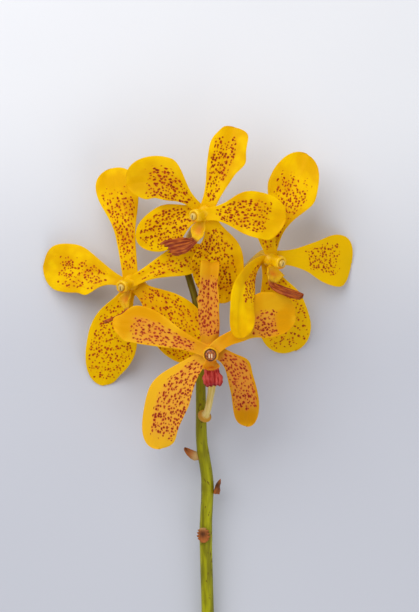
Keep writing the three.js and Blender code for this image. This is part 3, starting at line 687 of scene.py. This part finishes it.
class Finish:
    """A procedural material, built up from small steps."""

    def __init__(self, name):
        self.material = bpy.data.materials.new(name)
        self.material.use_nodes = True
        self.tree = self.material.node_tree
        self.tree.nodes.clear()
        self.place = self.attribute("place")
        self.marks = self.split(self.attribute("marks"))

    def node(self, kind, inputs=None, **settings):
        made = self.tree.nodes.new("ShaderNode" + kind)
        for key, value in settings.items():
            setattr(made, key, value)
        for key, value in (inputs or {}).items():
            if isinstance(value, bpy.types.NodeSocket):
                self.tree.links.new(value, made.inputs[key])
            else:
                made.inputs[key].default_value = value
        return made

    def attribute(self, name):
        return self.node("Attribute", attribute_name=name).outputs["Vector"]

    def split(self, vector):
        return [self.node("SeparateXYZ", {0: vector}).outputs[k] for k in range(3)]

    def join(self, x, y, z):
        return self.node("CombineXYZ", {0: x, 1: y, 2: z}).outputs[0]

    def math(self, operation, a, b=0.0):
        return self.node("Math", {0: a, 1: b}, operation=operation).outputs[0]

    def vector(self, operation, a, b):
        return self.node("VectorMath", {0: a, 1: b}, operation=operation).outputs[0]

    def ramp(self, value, low, high, start=0.0, end=1.0):
        inputs = {"Value": value, "From Min": low, "From Max": high, "To Min": start, "To Max": end}
        return self.node("MapRange", inputs, interpolation_type="SMOOTHSTEP").outputs[0]

    def mix(self, share, a, b):
        return self.node("Mix", {0: share, 6: a, 7: b}, data_type="RGBA").outputs[2]

    def noise(self, vector, scale, detail=2.0):
        return self.node("TexNoise", {"Vector": vector, "Scale": scale, "Detail": detail}).outputs["Fac"]

    def cells(self, vector, scale):
        """Distance in mm from the nearest of many scattered points, and that point's own three chances."""
        found = self.node("TexVoronoi", {"Vector": vector, "Scale": scale}, voronoi_dimensions="2D")
        distance = self.math("DIVIDE", found.outputs["Distance"], scale)
        return distance, self.split(found.outputs["Color"])

    def bump(self, height, strength, distance):
        return self.node("Bump", {"Height": height, "Strength": strength, "Distance": distance}).outputs[0]

    def finish(self, colour, roughness, normal, through=0.0, **sockets):
        inputs = {"Base Color": colour, "Roughness": roughness, "Normal": normal, **sockets}
        surface = self.node("BsdfPrincipled", inputs).outputs[0]
        if through:
            behind = self.node("BsdfTranslucent", {"Color": colour, "Normal": normal}).outputs[0]
            surface = self.node("MixShader", {0: through, 1: surface, 2: behind}).outputs[0]
        self.tree.links.new(surface, self.node("OutputMaterial").inputs["Surface"])
        return self.material


def petal_finish(name, light, deep, painted_shade, blush, dot, halo, stretch, crowd, tinge, swell):
    """Satin tissue with faint lengthwise veins, scattered crimson spots and painted light and shade for each
    blade.

    stretch below 1 draws the spots out lengthwise, crowd packs them closer, tinge warms the tissue between
    them and swell makes them larger, in mm. blush is that warmer colour, and halo the rim of a spot.
    """
    f = Finish(name)
    dots, flushed, painted_light = f.marks
    x, y, seed = f.split(f.place)
    wander = f.node("TexNoise", {"Vector": f.place, "Scale": 0.9, "Detail": 1.0}).outputs["Color"]
    wander = f.vector("MULTIPLY", f.vector("SUBTRACT", wander, (0.5, 0.5, 0.5)), (0.7, 1.0, 0))
    wx, wy, _ = f.split(f.vector("ADD", f.place, wander))
    spread = f.join(f.math("ADD", wx, f.math("MULTIPLY", seed, 31.7)), f.math("MULTIPLY", wy, stretch), 0.0)
    distance, (size, presence, depth) = f.cells(spread, crowd)
    radius = f.math("MULTIPLY", f.ramp(size, 0.0, 1.0, 0.18 + swell, 0.39 + swell),
                    f.ramp(f.math("SUBTRACT", dots, presence), -0.02, 0.08))
    edge = f.math("SUBTRACT", distance, radius)
    core = f.ramp(edge, -0.12, 0.07, 1.0, 0.0)
    ring = f.math("MULTIPLY", f.ramp(edge, -0.05, 0.34, 1.0, 0.0), f.ramp(radius, 0.02, 0.1))
    streaks = f.noise(f.join(f.math("MULTIPLY", x, 2.6), f.math("MULTIPLY", y, 0.11), seed), 1.0, 3.0)
    clouds = f.noise(f.place, 0.14, 2.0)
    colour = f.mix(f.ramp(clouds, 0.36, 0.64), light, deep)
    colour = f.mix(f.ramp(streaks, 0.35, 0.8, 0.0, 0.22), colour, deep)
    # Painted shade below 0.5 pulls the colour to painted_shade, and painted light above 0.5 pulls it to
    # light.
    colour = f.mix(f.ramp(painted_light, 0.5, 0.0), colour, painted_shade)
    colour = f.mix(f.ramp(painted_light, 0.5, 1.0), colour, light)
    colour = f.mix(f.math("MULTIPLY", flushed, 0.8), colour, blush)
    colour = f.mix(f.math("MULTIPLY", dots, tinge), colour, blush)
    colour = f.mix(f.math("MULTIPLY", ring, 0.45), colour, halo)
    spot = f.mix(f.ramp(depth, 0.3, 1.0, 0.0, 0.4), dot, halo)
    colour = f.mix(f.math("MULTIPLY", core, 0.95), colour, spot)
    grain = f.noise(f.place, 5.0, 2.0)
    height = f.math("ADD", f.math("MULTIPLY", streaks, 0.8), f.math("MULTIPLY", grain, 0.2))
    roughness = f.ramp(grain, 0.2, 0.8, 0.42, 0.56)
    return f.finish(colour, roughness, f.bump(height, 0.3, 0.0003), through=0.25,
                    **{"Specular IOR Level": 0.05})


def lip_finish(name, throat, spot, dark, pale):
    """Yellow throat with an orange spot, then a red-brown lobe striped along its ridges, the pale stripes
    partly a painted highlight.
    """
    f = Finish(name)
    lobe, ridge, glow = f.marks
    x, y, seed = f.split(f.place)
    streaks = f.noise(f.join(f.math("MULTIPLY", x, 3.2), f.math("MULTIPLY", y, 0.3), seed), 1.0, 3.0)
    patches = f.noise(f.vector("MULTIPLY", f.place, (0.7, 0.45, 1.0)), 1.0, 2.0)
    # Pale stripes on the ridges: real stripes, and on the front lip a painted highlight.
    lit = f.math("ADD", f.math("MULTIPLY", ridge, 0.45), f.math("ADD", streaks, patches))
    striped = f.mix(f.ramp(lit, 0.95, 1.7), dark, pale)
    distance, (_, presence, _) = f.cells(f.join(x, f.math("MULTIPLY", y, 0.8), 0.0), 1.3)
    freckle = f.math("MULTIPLY", f.ramp(distance, 0.08, 0.2, 1.0, 0.0),
                     f.math("GREATER_THAN", presence, 0.62))
    colour = f.mix(glow, throat, spot)
    colour = f.mix(f.math("MULTIPLY", freckle, 0.25), colour, dark)
    colour = f.mix(lobe, colour, striped)
    height = f.math("ADD", streaks, f.math("MULTIPLY", f.noise(f.place, 4.0), 0.4))
    return f.finish(colour, f.ramp(streaks, 0.2, 0.8, 0.35, 0.5), f.bump(height, 0.35, 0.0003), through=0.2,
                    **{"Specular IOR Level": 0.25})


def column_finish(name, light, deep, blush):
    """Waxy yellow with a warmer hollow and faint red freckles round its foot."""
    f = Finish(name)
    _, toward, _ = f.marks
    _, _, height = f.split(f.place)
    clouds = f.noise(f.place, 0.9)
    hollow = f.math("MULTIPLY", f.ramp(toward, 0.55, 0.95), f.ramp(height, 0.5, 2.5))
    foot = f.math("MULTIPLY", f.ramp(height, 0.6, -0.6), f.ramp(f.noise(f.place, 1.6), 0.5, 0.62))
    colour = f.mix(f.ramp(clouds, 0.3, 0.7), light, deep)
    colour = f.mix(f.math("MULTIPLY", hollow, 0.8), colour, blush)
    colour = f.mix(f.math("MULTIPLY", foot, 0.5), colour, blush)
    return f.finish(colour, f.ramp(clouds, 0.2, 0.8, 0.25, 0.4), f.bump(f.noise(f.place, 3.0), 0.3, 0.0003),
                    through=0.15, **{"Specular IOR Level": 0.3, "Coat Weight": 0.1, "Coat Roughness": 0.3})


def cap_finish(name, body, rim, pollen, apart):
    """A cap with a different rim, and pollen streaks on its lip side, apart mm from its middle."""
    f = Finish(name)
    radius, _, _ = f.marks
    x, y, height = f.split(f.place)
    aside = f.math("ABSOLUTE", f.math("SUBTRACT", f.math("ABSOLUTE", y), apart))
    streak = f.math("MULTIPLY", f.ramp(aside, 0.1, 0.28, 1.0, 0.0),
                    f.ramp(f.math("ABSOLUTE", f.math("SUBTRACT", x, 0.25)), 0.45, 0.85, 1.0, 0.0))
    clouds = f.noise(f.place, 1.8, 3.0)
    colour = f.mix(f.ramp(clouds, 0.35, 0.7), body, rim)
    colour = f.mix(f.ramp(radius, 0.66, 0.86), colour, rim)
    colour = f.mix(f.math("MULTIPLY", streak, f.ramp(height, 5.0, 5.6)), colour, pollen)
    return f.finish(colour, f.ramp(clouds, 0.2, 0.8, 0.28, 0.42), f.bump(clouds, 0.3, 0.0003), through=0.05,
                    **{"Specular IOR Level": 0.5, "Coat Weight": 0.2, "Coat Roughness": 0.25})


def pedicel_finish(name, pale, green, heel, ripe):
    """Pale cream stalklet with ribs, warmer where it meets the stem and yellow behind the flower."""
    f = Finish(name)
    knuckle, ovary, ribs = f.marks
    streaks = f.noise(f.vector("MULTIPLY", f.place, (2.4, 0.2, 2.4)), 1.0, 3.0)
    colour = f.mix(f.ramp(streaks, 0.35, 0.7), pale, green)
    colour = f.mix(f.math("MULTIPLY", f.ramp(ribs, 0.0, 0.45, 1.0, 0.0), 0.5), colour, green)
    colour = f.mix(f.ramp(knuckle, 0.25, 0.85, 0.0, 0.85), colour, heel)
    colour = f.mix(f.math("MULTIPLY", ovary, 0.8), colour, ripe)
    return f.finish(colour, f.ramp(streaks, 0.2, 0.8, 0.4, 0.55), f.bump(streaks, 0.4, 0.0003), through=0.1,
                    **{"Specular IOR Level": 0.2})


def stalk_finish(name, light, olive, blotch_and_shade, pith):
    """Olive green with fine lengthwise fibres, small brown blotches, corky nodes, a pale cut end and painted
    shade on its tip under the flowers.
    """
    f = Finish(name)
    cut, nodes, _ = f.marks
    _, y, _ = f.split(f.place)
    fibres = f.noise(f.vector("MULTIPLY", f.place, (2.6, 0.12, 2.6)), 1.0, 4.0)
    clouds = f.noise(f.vector("MULTIPLY", f.place, (0.5, 0.08, 0.5)), 1.0, 2.0)
    flecks = f.noise(f.vector("MULTIPLY", f.place, (0.9, 0.45, 0.9)), 1.0, 3.0)
    colour = f.mix(f.ramp(clouds, 0.35, 0.65), olive, light)
    colour = f.mix(f.ramp(y, 80.0, 125.0, 0.0, 0.6), colour, olive)
    # Painted shade: the tip darkens where it lies under the flowers.
    colour = f.mix(f.ramp(y, 125.0, 142.0, 0.0, 0.6), colour, blotch_and_shade)
    colour = f.mix(f.ramp(fibres, 0.4, 0.75, 0.0, 0.35), colour, light)
    colour = f.mix(f.ramp(flecks, 0.62, 0.7, 0.0, 0.75), colour, blotch_and_shade)
    colour = f.mix(f.ramp(nodes, 0.35, 1.0, 0.0, 0.16), colour, blotch_and_shade)
    vessels = f.ramp(f.noise(f.place, 3.4, 2.0), 0.5, 0.62, 0.0, 0.5)
    core = f.mix(vessels, pith, light)
    colour = f.mix(cut, colour, core)
    height = f.math("ADD", fibres, f.math("MULTIPLY", f.noise(f.place, 3.0), 0.25))
    return f.finish(colour, f.ramp(fibres, 0.2, 0.8, 0.38, 0.55), f.bump(height, 0.45, 0.0004),
                    **{"Specular IOR Level": 0.2})


def bract_finish(name, brown, dark, pale):
    """Dry papery brown with pleats, a pale base and darker torn edges."""
    f = Finish(name)
    shaded, lit, edge = f.marks
    x, y, seed = f.split(f.place)
    pleats = f.noise(f.join(f.math("MULTIPLY", x, 3.0), f.math("MULTIPLY", y, 0.4), seed), 1.0, 4.0)
    colour = f.mix(f.ramp(pleats, 0.35, 0.75, 0.0, 0.35), brown, dark)
    colour = f.mix(f.math("MULTIPLY", lit, 0.8), colour, pale)
    colour = f.mix(f.math("MULTIPLY", shaded, 0.85), colour, dark)
    colour = f.mix(f.math("MULTIPLY", edge, 0.25), colour, dark)
    return f.finish(colour, f.ramp(pleats, 0.2, 0.8, 0.6, 0.85), f.bump(pleats, 0.7, 0.0004), through=0.12,
                    **{"Specular IOR Level": 0.25})


# Colours, as they look on a screen

YELLOW = dict(
    light=screen(255, 213, 0), deep=screen(240, 186, 0), painted_shade=screen(206, 154, 0),
    blush=screen(228, 138, 8), dot=screen(134, 8, 20), halo=screen(212, 84, 10),
    stretch=0.85, crowd=1.1, tinge=0.06, swell=0.0)
PALER_SPOTS = {**YELLOW, "dot": screen(156, 18, 24), "halo": screen(222, 100, 14), "swell": -0.02}
ORANGE = dict(
    light=screen(255, 206, 30), deep=screen(248, 182, 8), painted_shade=screen(206, 136, 2),
    blush=screen(242, 160, 76), dot=screen(146, 12, 28), halo=screen(220, 92, 50),
    stretch=0.72, crowd=1.12, tinge=0.35, swell=-0.02)
PETALS = dict(top=YELLOW, left=PALER_SPOTS, right=PALER_SPOTS, front=ORANGE)

YELLOW_HEART = dict(
    column=dict(light=screen(254, 208, 2), deep=screen(244, 186, 0), blush=screen(238, 142, 4)),
    lip=dict(throat=screen(250, 204, 4), spot=screen(246, 158, 4), dark=screen(136, 38, 8),
             pale=screen(214, 116, 30)),
    cap=dict(body=screen(222, 194, 106), rim=screen(212, 168, 44), pollen=screen(112, 56, 18), apart=0.0))
# The front lip's pinkish pale is a painted highlight on its ridges.
ORANGE_HEART = dict(
    column=dict(light=screen(246, 184, 12), deep=screen(234, 160, 4), blush=screen(224, 120, 4)),
    lip=dict(throat=screen(246, 176, 16), spot=screen(220, 112, 4), dark=screen(150, 12, 22),
             pale=screen(226, 96, 88)),
    cap=dict(body=screen(196, 104, 24), rim=screen(72, 28, 12), pollen=screen(236, 208, 166), apart=0.4))
HEARTS = dict(top=YELLOW_HEART, left=YELLOW_HEART, right=YELLOW_HEART, front=ORANGE_HEART)

PEDICEL = dict(
    pale=screen(238, 216, 140), green=screen(216, 192, 98),
    heel=screen(202, 138, 8), ripe=screen(240, 194, 30))
STALK = dict(
    light=screen(162, 160, 0), olive=screen(116, 112, 0),
    blotch_and_shade=screen(84, 50, 4), pith=screen(206, 206, 140))
PAPER = dict(brown=screen(196, 112, 50), dark=screen(40, 18, 8), pale=screen(206, 178, 116))


# Assembly

def make_blades(name, flower, finish, seed):
    """The sepals and petals of a flower, seated in a ring round its centre."""
    centre = np.array(flower["centre"], float)
    face = direction(*flower["face"])
    for number, (blade_name, shape) in enumerate(flower["blades"].items()):
        blade = {**BLADE, **shape}
        setback = SEPAL_SETBACK if "sepal" in blade_name else PETAL_SETBACK
        foot = blade["heading"] if blade["foot"] is None else blade["foot"]
        start = centre + square_to(face, direction(foot, 0)) * FOOT_RADIUS - face * setback
        make_blade(f"{name}_{blade_name}", blade, start, finish, seed + number)


def build_flower(name, flower, seed):
    """All the pieces of one flower, with its own finishes."""
    heart = HEARTS[name]
    petals = petal_finish(f"{name}_petal_tissue", **PETALS[name])
    waxy = column_finish(f"{name}_column_wax", **heart["column"])
    lips = lip_finish(f"{name}_lip_tissue", **heart["lip"])
    caps = cap_finish(f"{name}_cap_skin", **heart["cap"])
    greens = pedicel_finish(f"{name}_pedicel_skin", **PEDICEL)
    make_blades(name, flower, petals, seed)
    make_lip(f"{name}_lip", flower, lips, seed)
    make_column(f"{name}_column", flower, waxy)
    make_cap(f"{name}_anther_cap", flower, caps)
    make_pedicel(f"{name}_pedicel", flower, greens, seed)


make_stalk(stalk_finish("stalk_skin", **STALK))
papery = bract_finish("bract_paper", **PAPER)
for number, (name, bract) in enumerate(BRACTS.items()):
    make_bract(name, bract, papery, 100 + number)
for number, (name, flower) in enumerate(FLOWERS.items()):
    build_flower(name, flower, 10 * (number + 1))


# Table, light and camera

# Camera, in mm
CAMERA_HEIGHT = 600
SCALE_HEIGHT = 15
MM_PER_PIXEL = 0.33
IMAGE_HEIGHT = 612
SENSOR = 36

# Table and lights, in metres and watts
TABLE_HALF = 1.5
TABLE_CELLS = 12
SOFT_WHITE = (1.0, 0.98, 0.95)
WINDOW = dict(offset=(-0.22, 0.31, 0.44), size=0.62, power=2.75)
BOUNCE = dict(offset=(0.32, -0.42, 0.4), size=0.6, power=1.2)
SKY_COLOUR = (0.95, 0.96, 1.0, 1.0)
SKY_STRENGTH = 0.5


def table_finish():
    """Matt pale paper, with painted light that makes it a little lighter towards the flowers and the top of
    the view.
    """
    f = Finish("table_paper")
    where = f.node("NewGeometry").outputs["Position"]
    _, y, _ = f.split(where)
    clouds = f.noise(where, 9.0, 2.0)
    # Painted light: the paper lightens up the view, as the window's light falls off downwards.
    colour = f.mix(f.ramp(y, 0.02, 0.125), screen(194, 197, 207), screen(227, 229, 234))
    colour = f.mix(f.ramp(clouds, 0.3, 0.7, 0.0, 0.15), colour, screen(206, 209, 217))
    grain = f.bump(f.noise(where, 900.0), 0.1, 0.0001)
    return f.finish(colour, f.ramp(clouds, 0.2, 0.8, 0.75, 0.85), grain, **{"Specular IOR Level": 0.2})


def make_table():
    row = TABLE_CELLS + 1
    steps = np.linspace(-TABLE_HALF, TABLE_HALF, row)
    points = [(x, y, 0) for y in steps for x in steps]
    corners = [row * j + i for j in range(TABLE_CELLS) for i in range(TABLE_CELLS)]
    faces = [(a, a + 1, a + 1 + row, a + row) for a in corners]
    mesh = bpy.data.meshes.new("table")
    mesh.from_pydata(points, [], faces)
    mesh.materials.append(table_finish())
    table = bpy.data.objects.new("table", mesh)
    bpy.context.scene.collection.objects.link(table)


def make_light(name, target, offset, size, power):
    """A round soft light at the given offset from its target, in metres."""
    data = bpy.data.lights.new(name, "AREA")
    data.shape = "DISK"
    data.size = size
    data.energy = power
    data.color = SOFT_WHITE
    light = bpy.data.objects.new(name, data)
    light.location = target + Vector(offset)
    light.rotation_euler = (-Vector(offset)).to_track_quat("-Z", "Y").to_euler()
    bpy.context.scene.collection.objects.link(light)


def make_camera():
    """Straight above the middle. MM_PER_PIXEL is the picture's scale at SCALE_HEIGHT above the table."""
    data = bpy.data.cameras.new("camera")
    data.sensor_width = SENSOR
    data.lens = SENSOR * (CAMERA_HEIGHT - SCALE_HEIGHT) / (MM_PER_PIXEL * IMAGE_HEIGHT)
    camera = bpy.data.objects.new("camera", data)
    camera.location = in_frame((0, 0, CAMERA_HEIGHT))
    bpy.context.scene.collection.objects.link(camera)
    bpy.context.scene.camera = camera


def light_scene():
    """A large soft window from the upper left, a weaker one from the lower right, and an even pale sky."""
    middle = Vector(in_frame((0, 0, 0)))
    make_light("window", middle, **WINDOW)
    make_light("bounce", middle, **BOUNCE)
    world = bpy.data.worlds.new("sky")
    world.use_nodes = True
    background = world.node_tree.nodes["Background"]
    background.inputs["Color"].default_value = SKY_COLOUR
    background.inputs["Strength"].default_value = SKY_STRENGTH
    bpy.context.scene.world = world
    bpy.context.scene.view_settings.view_transform = "Standard"


make_table()
light_scene()
make_camera()
